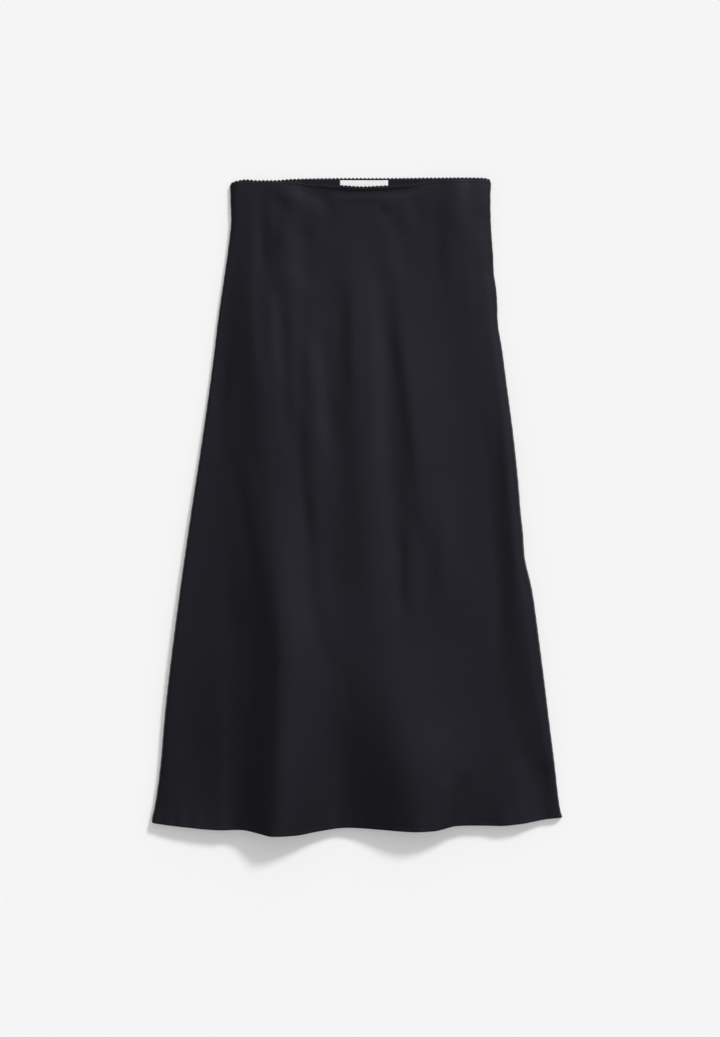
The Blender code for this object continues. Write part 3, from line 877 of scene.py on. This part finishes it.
def satin_material(name, look):
    """Matt satin on the bias: long floats of a fine warp, a cross weft, and faint wide patches."""
    made, wire = new_material(name)
    laid, _, down, thing = places(wire)
    quarter = math.pi / 4.0
    floats = wire.noise(laid, scale=1.0, detail=2.0, stretch=(0.00032, 0.0036, 1.0), turn=quarter)
    weft = wire.noise(laid, scale=1.0, detail=1.0, stretch=(0.0024, 0.00030, 1.0), turn=quarter)
    patches = wire.noise(thing, scale=14.0, detail=3.0)
    crumple = wire.noise(thing, scale=55.0, detail=2.0, stretch=(1.0, 2.2, 1.0), turn=-0.25)
    shade = 0.45 * floats + 0.15 * weft + 0.4 * patches
    soft = wire.bump(crumple, distance=0.00022)
    normal = wire.bump(0.7 * floats + 0.3 * weft, distance=0.00004, under=soft)
    end_material(wire, {
        "Base Color": shade.blend(*shades(look.satin, 0.78, 1.24)),
        "Roughness": look.satin_roughness - 0.034 + 0.08 * patches - 0.014 * down,
        "Specular IOR Level": look.satin_gloss,
        "Specular Tint": (*look.satin_shine, 1.0),
        "Normal": normal,
    })
    return made


def elastic_material(name, look):
    """Knitted elastic: raised ribs along its width, crossed by rows of small stitches."""
    made, wire = new_material(name)
    laid, across, down, _ = places(wire)
    ribs = across.turns(pitch=0.00115).sine()
    rows = (down.turns(pitch=0.00080) + 1.2 * ribs).sine()
    fuzz = wire.noise(laid, scale=2600.0, detail=3.0)
    height = 0.35 * ribs + 0.25 * rows + 0.5 * fuzz
    end_material(wire, {
        "Base Color": (0.5 * fuzz + 0.25 * rows + 0.25).blend(*shades(look.elastic, 0.6, 1.5)),
        "Roughness": 0.72 + 0.2 * fuzz,
        "Specular IOR Level": 0.2,
        "Normal": wire.bump(height, distance=0.00016),
    })
    return made


def label_material(name, look):
    """Woven label: fine close weft ribs across it, a soft warp, and a little unevenness."""
    made, wire = new_material(name)
    laid, across, down, _ = places(wire)
    weft = down.turns(pitch=0.00034).sine()
    warp = across.turns(pitch=0.00046).sine()
    uneven = wire.noise(laid, scale=420.0, detail=3.0, stretch=(3.0, 1.0, 1.0))
    height = 0.4 * weft + 0.25 * warp * weft + 0.4 * uneven
    end_material(wire, {
        "Base Color": (0.6 * uneven + 0.2 * weft + 0.3).blend(*shades(look.label, 0.90, 1.0)),
        "Roughness": 0.55 + 0.15 * uneven,
        "Specular IOR Level": 0.35,
        "Normal": wire.bump(height, distance=0.00006),
    })
    return made


def thread_material(name, colour):
    """Spun thread: two plies that wind round it, a little fuzz between them."""
    made, wire = new_material(name)
    laid, length, girth, _ = places(wire)
    plies = (length.turns(pitch=0.0009) + girth.turns(pitch=0.0008)).sine()
    fuzz = wire.noise(laid, scale=3000.0, detail=2.0)
    end_material(wire, {
        "Base Color": (0.3 * plies + 0.4 * fuzz + 0.3).blend(*shades(colour, 0.7, 1.3)),
        "Roughness": 0.5 + 0.2 * fuzz,
        "Specular IOR Level": 0.3,
        "Normal": wire.bump(plies + 0.3 * fuzz, distance=0.00003),
    })
    return made


def floor_material(name, look):
    """Plain pale paper with a barely uneven tone."""
    made, wire = new_material(name)
    tone = wire.noise(places(wire)[3], scale=3.0, detail=2.0)
    end_material(wire, {
        "Base Color": tone.blend(*shades(look.floor, 0.996, 1.0)),
        "Roughness": 0.9,
        "Specular IOR Level": 0.0,
        "Emission Color": (*look.floor_glow, 1.0),
        "Emission Strength": 1.0,
    })
    return made


def finish_of(name, make, values):
    """The material of that name, made once."""
    return bpy.data.materials.get(name) or make(name, values)


def settle(made, node=None):
    """Fixes a piece to the skirt's one body, and hides the imported solid that it stands for."""
    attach(made, "root")
    if node:
        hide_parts(node)


def cloth_map(points):
    """Metres across the cloth from its middle, and metres down it, for each point of a grid."""
    across = distance(points, axis=1)
    return np.stack([across - across[:, -1:] / 2.0, distance(points)], axis=-1)


def cut_of(points):
    """A grid's cut: its widest row, its longest column and its area, laid flat."""
    width, length = distance(points, axis=1).max(), distance(points).max()
    across = points[:-1, 1:] - points[:-1, :-1]
    down = points[1:, :-1] - points[:-1, :-1]
    area = np.linalg.norm(np.cross(across, down), axis=-1).sum()
    return float(width), float(length), float(area)


def lay_panel(context, panel, columns, rows):
    """Makes one satin panel as a thin closed shell, and works out its cut."""
    sizes, look = context.scene.slip_skirt_sizes, context.scene.slip_skirt_looks
    part = panel_parts(columns)
    top, hem = top_line(panel, part) + sizes.cloth, hem_line(panel, part) - sizes.cloth / 2.0
    down = panel_rows(top, hem, rows)
    skin = skin_at(panel, part, down)
    gap = sizes.seam_gap / 2.0
    skin[:, [0, -1], 2] += gap if panel == "front" else -gap
    skin[:, 0, 0] += sizes.tuck
    skin[:, -1, 0] -= sizes.tuck
    wall = wall_at(panel, part, down, sizes.cloth, sizes.hem)
    if panel == "back":
        skin, wall = skin[:, ::-1], wall[:, ::-1]
    inside = skin - outward(skin) * wall[..., None]
    finish = finish_of("bias_satin", satin_material, look)
    made = shell(panel + "_cloth", skin, inside[::2], cloth_map(skin), finish)
    settle(made, panel + "_panel")
    width, length, area = cut_of(skin)


def seam_parts():
    """Even places across the front and then back across the back, and the length all round."""
    count = round((SIDES[0].right - SIDES[0].left) / PICOT_PITCH) * SCALLOP_STEPS
    front, front_length = even_parts("front", count, top_line)
    back, back_length = even_parts("back", count, top_line)
    return {"front": front, "back": 1.0 - back}, front_length + back_length


def waist_loop(parts, lowered):
    """Rows of points round the waist on the satin's face, each lowered from its edge."""
    halves = [outside(panel, part, top_line(panel, part) + lowered) for panel, part in parts.items()]
    return np.concatenate(halves, axis=1)


def scallop(count):
    """How far the elastic's edge stands above the satin's: a row of half-rounds with sharp valleys."""
    roundness = 0.75
    wave = np.abs(np.cos(np.pi * np.arange(count) / SCALLOP_STEPS)) ** roundness
    return PICOT_FOOT + PICOT_RISE * wave


def behind_satin(sizes):
    """How far the elastic lies in from the satin's face: behind its two layers."""
    return 2.0 * sizes.cloth + CLEARANCE


def length_value(name, description, default, precision=5):
    """A length that a user can change."""
    return bpy.props.FloatProperty(
        name=name, description=description, default=default, unit="LENGTH", precision=precision)


def angle_value(name, description, default):
    """An angle in radians."""
    return bpy.props.FloatProperty(name=name, description=description, default=default, subtype="ANGLE")


def strength_value(name, description, default):
    """The strength of a light."""
    return bpy.props.FloatProperty(name=name, description=description, default=default, min=0.0)


def share_value(name, description, default):
    """A finish from 0 to 1."""
    return bpy.props.FloatProperty(
        name=name, description=description, default=default, subtype="FACTOR", min=0.0, max=1.0)


def colour_value(name, description, default):
    """A linear colour."""
    return bpy.props.FloatVectorProperty(
        name=name, description=description, default=default, subtype="COLOR", min=0.0, max=1.0)


class SlipSkirtSizes(bpy.types.PropertyGroup):
    """Sizes of the cloth, the waist and the stitching."""

    cloth: length_value("Satin", "Thickness of one layer of satin", 0.0005)
    hem: length_value("Hem", "Thickness of the turned hem", 0.0011)
    seam_gap: length_value("Seam", "Gap between the panels at a side seam", 0.0001)
    tuck: length_value("Tuck", "How far a side seam is drawn in", 0.0003)
    band: length_value("Elastic", "Thickness of the elastic", 0.0009)
    picot: length_value("Picot thread", "Radius of the thread along the elastic's edge", 0.00034)
    thread: length_value("Sewing thread", "Radius of the sewing thread", 0.00014)
    zigzag_pitch: length_value("Zigzag pitch", "Length of one zigzag stitch along the waist", 0.0030, 4)
    zigzag_height: length_value("Zigzag height", "Width of the zigzag seam", 0.0026, 4)
    stitch_pitch: length_value("Stitch pitch", "Distance between two stitches of the hem", 0.0028, 4)
    label: length_value("Label", "Thickness of the woven label", 0.00045)


class SlipSkirtLooks(bpy.types.PropertyGroup):
    """Colours and finishes."""

    satin: colour_value("Satin", "Colour of the satin", (0.0026, 0.0024, 0.0033))
    satin_shine: colour_value("Satin shine", "Colour of the satin's reflection", (0.82, 0.77, 1.0))
    satin_roughness: share_value("Satin roughness", "Roughness of the satin", 0.43)
    satin_gloss: share_value("Satin gloss", "Strength of the satin's reflection", 0.30)
    elastic: colour_value("Elastic", "Colour of the elastic", (0.0074, 0.0066, 0.0125))
    thread: colour_value("Thread", "Colour of the black thread", (0.0036, 0.0034, 0.0048))
    label: colour_value("Label", "Colour of the label", (0.93, 0.93, 0.92))
    floor: colour_value("Floor", "Colour of the paper floor", (0.635, 0.635, 0.635))
    floor_glow: colour_value(
        "Floor glow", "Light that comes up through the paper and softens the shadows", (0.270, 0.270, 0.270))


class SlipSkirtStudio(bpy.types.PropertyGroup):
    """The light and the camera."""

    key_strength: strength_value("Key light", "Strength of the key light", 2.93)
    key_height: angle_value("Key height", "Angle of the key light above the floor", math.radians(33.0))
    key_side: angle_value(
        "Key side", "Direction of both lights, turned from +X towards +Y", math.radians(58.0))
    key_size: angle_value("Key size", "Angle that the key light fills, which softens its shadows", 0.19)
    soft_strength: strength_value("Soft light", "Strength of the wide soft light on the key's side", 1.043)
    soft_height: angle_value(
        "Soft height", "Angle of the soft light's middle above the floor", math.radians(50.0))
    soft_size: angle_value("Soft size", "Angle that the soft light fills", math.radians(100.0))
    fill: strength_value("Fill", "Strength of the light from all round", 0.2545)
    camera_height: length_value("Camera height", "Height of the camera above the floor", 2.42, 3)
    camera_x: length_value("Camera x", "Place of the camera across the skirt", 0.0042, 4)
    camera_y: length_value("Camera y", "Place of the camera along the skirt", -0.0155, 4)
    lens: bpy.props.FloatProperty(
        name="Lens", description="Focal length, for a sensor of 36 mm on its long side", default=70.0,
        unit="CAMERA")


class SLIPSKIRT_OT_back(bpy.types.Operator):
    """Makes the back panel of satin."""

    bl_idname = "slip_skirt.back"
    bl_label = "Back of satin"

    def execute(self, context):
        lay_panel(context, "back", BACK_COLUMNS, BACK_ROWS)
        return {"FINISHED"}


class SLIPSKIRT_OT_front(bpy.types.Operator):
    """Makes the front panel of satin."""

    bl_idname = "slip_skirt.front"
    bl_label = "Front of satin"

    def execute(self, context):
        lay_panel(context, "front", FRONT_COLUMNS, FRONT_ROWS)
        return {"FINISHED"}


class SLIPSKIRT_OT_elastic(bpy.types.Operator):
    """Makes the loop of elastic, with the thread along its picot edge.

    Its rows go by even shares from the picots' half-rounds to its lower edge. Its outer face is the
    satin's, moved in behind the two layers, and its inner one is moved in by its thickness, with a
    sine of ribs.
    """

    bl_idname = "slip_skirt.elastic"
    bl_label = "Elastic waist"

    def execute(self, context):
        sizes, look = context.scene.slip_skirt_sizes, context.scene.slip_skirt_looks
        parts, around = seam_parts()
        half = len(parts["front"])
        share = np.linspace(0.0, 1.0, BAND_ROWS)[:, None]
        lowered = BAND_WIDTH * share - scallop(half) * (1.0 - share)
        face = waist_loop(parts, lowered)
        normal = outward(face, ends_meet=True)
        outer = face - normal * behind_satin(sizes)
        step = np.arange(2 * half)
        ribs = RIB_RISE * np.sin(2.0 * np.pi * RIBS_IN_PICOT * step / SCALLOP_STEPS)
        inner = outer - normal * (sizes.band + ribs[:, None])
        uv = np.stack(np.broadcast_arrays(step / len(step) * around, np.tile(lowered, 2)), axis=-1)
        finish = finish_of("knit_elastic", elastic_material, look)
        band = shell("elastic_band", outer, inner[::2], uv, finish, ends_meet=True)
        settle(band, "waist_elastic")
        thread = finish_of("black_thread", thread_material, look.thread)
        middle = (outer[0] + inner[0]) / 2.0
        picots = tube("picot_thread", middle, normal[0], sizes.picot, thread, ends_meet=True)
        settle(picots)
        height = BAND_WIDTH + PICOT_FOOT + PICOT_RISE
        around * height
        return {"FINISHED"}


class SLIPSKIRT_OT_waist_stitching(bpy.types.Operator):
    """Sews the zigzag that holds the satin to the elastic, outside and inside.

    The path goes down and up again by straight legs, and rises off the cloth by a half sine in each.
    """

    bl_idname = "slip_skirt.waist_stitching"
    bl_label = "Waist stitching"

    def execute(self, context):
        sizes, look = context.scene.slip_skirt_sizes, context.scene.slip_skirt_looks
        thread = finish_of("black_thread", thread_material, look.thread)
        through = behind_satin(sizes) + sizes.band
        rise, sunk = 1.2, 0.6  # of the thread's radius: over the middle of a stitch, and at its ends
        for panel, fullness in (("front", 1.0), ("back", 0.4)):
            legs = 2 * round(even_parts(panel, 2, top_line)[1] / sizes.zigzag_pitch)
            part = even_parts(panel, legs * ZIGZAG_STEPS, top_line)[0]
            step = np.arange(len(part)) / ZIGZAG_STEPS
            to_and_fro = 1.0 - np.abs(step % 2.0 - 1.0)
            down = top_line(panel, part) + ZIGZAG_LEVEL + sizes.zigzag_height * to_and_fro
            face, normal = face_at(panel, part, down)
            lift = sizes.thread * (rise * np.sin(np.pi * (step % 1.0)) - sunk)
            for name, up, off in (
                (panel + "_zigzag", normal, lift * fullness),
                (panel + "_inner_zigzag", -normal, through + lift),
            ):
                made = tube(name, face + up * off[:, None], up, sizes.thread, thread)
                settle(made)
        return {"FINISHED"}


class SLIPSKIRT_OT_hem_stitching(bpy.types.Operator):
    """Sews the hem with a line of small stitches, round the front and the back."""

    bl_idname = "slip_skirt.hem_stitching"
    bl_label = "Hem stitching"

    def execute(self, context):
        sizes, look = context.scene.slip_skirt_sizes, context.scene.slip_skirt_looks
        thread = finish_of("black_thread", thread_material, look.thread)
        shown, girth = 0.72, 1.15  # of the stitches' pitch, and of the thread's radius
        for panel, rise in (("front", 0.5), ("back", -0.2)):
            count = round(even_parts(panel, 2, hem_line, -HEM_STITCH)[1] / sizes.stitch_pitch)
            half_step = 0.5 / count * (1.0 - 2.0 * ROLL_SHARE)
            part = even_parts(panel, count, hem_line, -HEM_STITCH)[0] + half_step
            face, normal = face_at(panel, part, hem_line(panel, part) - HEM_STITCH)
            way = way_along(face, 0, False)
            centre = face + normal * sizes.thread * rise
            sewn = stitches(
                panel + "_hem_stitches", centre, way, normal, shown * sizes.stitch_pitch,
                girth * sizes.thread, thread)
            settle(sewn)
        return {"FINISHED"}


class SLIPSKIRT_OT_label(bpy.types.Operator):
    """Makes the bare woven label inside the back, and the stitches at its ends.

    Its underside is a flat grid at the level of what it lies on, plus the curl of its lower corners,
    as the sixth power of the way out, and a slanting sine. Its thickness grows at the turned ends.
    """

    bl_idname = "slip_skirt.label"
    bl_label = "Label"

    def execute(self, context):
        sizes, look = context.scene.slip_skirt_sizes, context.scene.slip_skirt_looks
        on_satin = behind_satin(sizes)
        on_band = on_satin + sizes.band + CLEARANCE
        band_end = top_line("back", np.array([0.5]))[0] + BAND_WIDTH

        def level(down):
            """How high the label lies: on the elastic, and below that on the satin."""
            return on_band + (on_satin - on_band) * smooth((down - band_end + LABEL_LEAD) / LABEL_STEP)

        rows, columns = LABEL_GRID
        end = LABEL_WIDTH / 2.0
        across = LABEL_WIDTH * np.linspace(-0.5, 0.5, columns)
        down = LABEL_TOP + LABEL_HEIGHT * np.linspace(0.0, 1.0, rows)[:, None]
        fold = smooth((np.abs(across) - end + LABEL_TURN) / LABEL_TURN_STEP)
        curl_start, curl_reach, calm = 0.010, 0.008, 0.006
        curl = LABEL_CURL * (np.abs(across) / end) ** 6 * smooth((down - curl_start) / curl_reach)
        wave = LABEL_WAVE * np.sin(2.0 * np.pi * (across / 0.021 + down / 0.017))
        under = level(down) + curl + wave * smooth((down - LABEL_TOP) / calm)
        top = under + sizes.label * (LABEL_SINGLE + (1.0 - LABEL_SINGLE) * fold)
        upper, lower = (
            np.stack(np.broadcast_arrays(LABEL_CENTRE + across, LENGTH / 2.0 - down, height), axis=-1)
            for height in (top, under)
        )
        uv = np.stack(np.broadcast_arrays(across, down), axis=-1)
        made = shell("label_cloth", upper, lower[::2], uv, finish_of("woven_label", label_material, look))
        settle(made, "waist_label")

        thread = finish_of("white_thread", thread_material, look.label)
        spare = 0.001  # no stitch is closer to the lower edge
        sewn_rows = np.arange(LABEL_MARGIN, LABEL_HEIGHT - spare, LABEL_STITCH_PITCH) + LABEL_TOP
        sewn_ends = [LABEL_MARGIN - end, end - LABEL_MARGIN]
        side, down = (place.ravel() for place in np.meshgrid(sewn_ends, sewn_rows))
        centre = np.stack([LABEL_CENTRE + side, LENGTH / 2.0 - down, level(down) + sizes.label], axis=-1)
        way, up = np.zeros_like(centre), np.zeros_like(centre)
        way[:, 1] = up[:, 2] = 1.0
        sewn = stitches("label_stitches", centre, way, up, LABEL_STITCH, sizes.thread, thread)
        settle(sewn)
        return {"FINISHED"}


class SLIPSKIRT_OT_stage(bpy.types.Operator):
    """Sets the floor, the light from all round, the key light, the soft light and the camera."""

    bl_idname = "slip_skirt.stage"
    bl_label = "Studio"

    def execute(self, context):
        scene = context.scene
        studio, look = scene.slip_skirt_studio, scene.slip_skirt_looks
        reach, level = 6.0, -0.0003
        corners = np.array([[-1.0, -1.0], [1.0, -1.0], [1.0, 1.0], [-1.0, 1.0]]) * reach
        points = np.concatenate([corners, np.full((4, 1), level)], axis=1)
        floor = link("floor", points, [[0, 1, 2, 3]], corners, finish_of("paper", floor_material, look))

        world = bpy.data.worlds.new("studio")
        world.use_nodes = True
        sky = world.node_tree.nodes["Background"]
        sky.inputs["Color"].default_value = (1.0, 1.0, 1.0, 1.0)
        sky.inputs["Strength"].default_value = studio.fill
        scene.world = world

        for name in ("key", "soft"):
            light = bpy.data.lights.new(name, "SUN")
            light.energy = getattr(studio, name + "_strength")
            light.angle = getattr(studio, name + "_size")
            lamp = bpy.data.objects.new(name, light)
            height = getattr(studio, name + "_height")
            lamp.rotation_euler = (0.0, math.pi / 2.0 - height, studio.key_side)
            scene.collection.objects.link(lamp)

        view = bpy.data.cameras.new("camera")
        view.lens = studio.lens
        view.sensor_width = 36.0
        view.clip_start = 0.05
        view.clip_end = 60.0
        camera = bpy.data.objects.new("camera", view)
        camera.location = (studio.camera_x, studio.camera_y, studio.camera_height)
        scene.collection.objects.link(camera)
        scene.camera = camera
        scene.view_settings.view_transform = "Standard"
        return {"FINISHED"}


class SLIPSKIRT_PT_panel(bpy.types.Panel):
    """Lists the pieces, and the values that they are made from."""

    bl_idname = "SLIPSKIRT_PT_panel"
    bl_label = "Slip skirt"
    bl_space_type = "VIEW_3D"
    bl_region_type = "UI"
    bl_category = "Slip skirt"

    def draw(self, context):
        layout = self.layout
        for operator in OPERATORS:
            layout.operator(operator.bl_idname)
        for group in GROUPS:
            values = getattr(context.scene, GROUPS[group])
            box = layout.box()
            for name in group.__annotations__:
                box.prop(values, name)


GROUPS = {
    SlipSkirtSizes: "slip_skirt_sizes",
    SlipSkirtLooks: "slip_skirt_looks",
    SlipSkirtStudio: "slip_skirt_studio",
}
OPERATORS = (
    SLIPSKIRT_OT_stage,
    SLIPSKIRT_OT_back,
    SLIPSKIRT_OT_front,
    SLIPSKIRT_OT_elastic,
    SLIPSKIRT_OT_waist_stitching,
    SLIPSKIRT_OT_hem_stitching,
    SLIPSKIRT_OT_label,
)


def register():
    for made in (*GROUPS, *OPERATORS, SLIPSKIRT_PT_panel):
        bpy.utils.register_class(made)
    for group, name in GROUPS.items():
        setattr(bpy.types.Scene, name, bpy.props.PointerProperty(type=group))


def unregister():
    for name in GROUPS.values():
        delattr(bpy.types.Scene, name)
    for made in (SLIPSKIRT_PT_panel, *reversed(OPERATORS), *GROUPS):
        bpy.utils.unregister_class(made)


def main():
    register()
    bpy.ops.slip_skirt.stage()
    bpy.ops.slip_skirt.back()
    bpy.ops.slip_skirt.front()
    bpy.ops.slip_skirt.elastic()
    bpy.ops.slip_skirt.waist_stitching()
    bpy.ops.slip_skirt.hem_stitching()
    bpy.ops.slip_skirt.label()


if __name__ == "__main__":
    main()
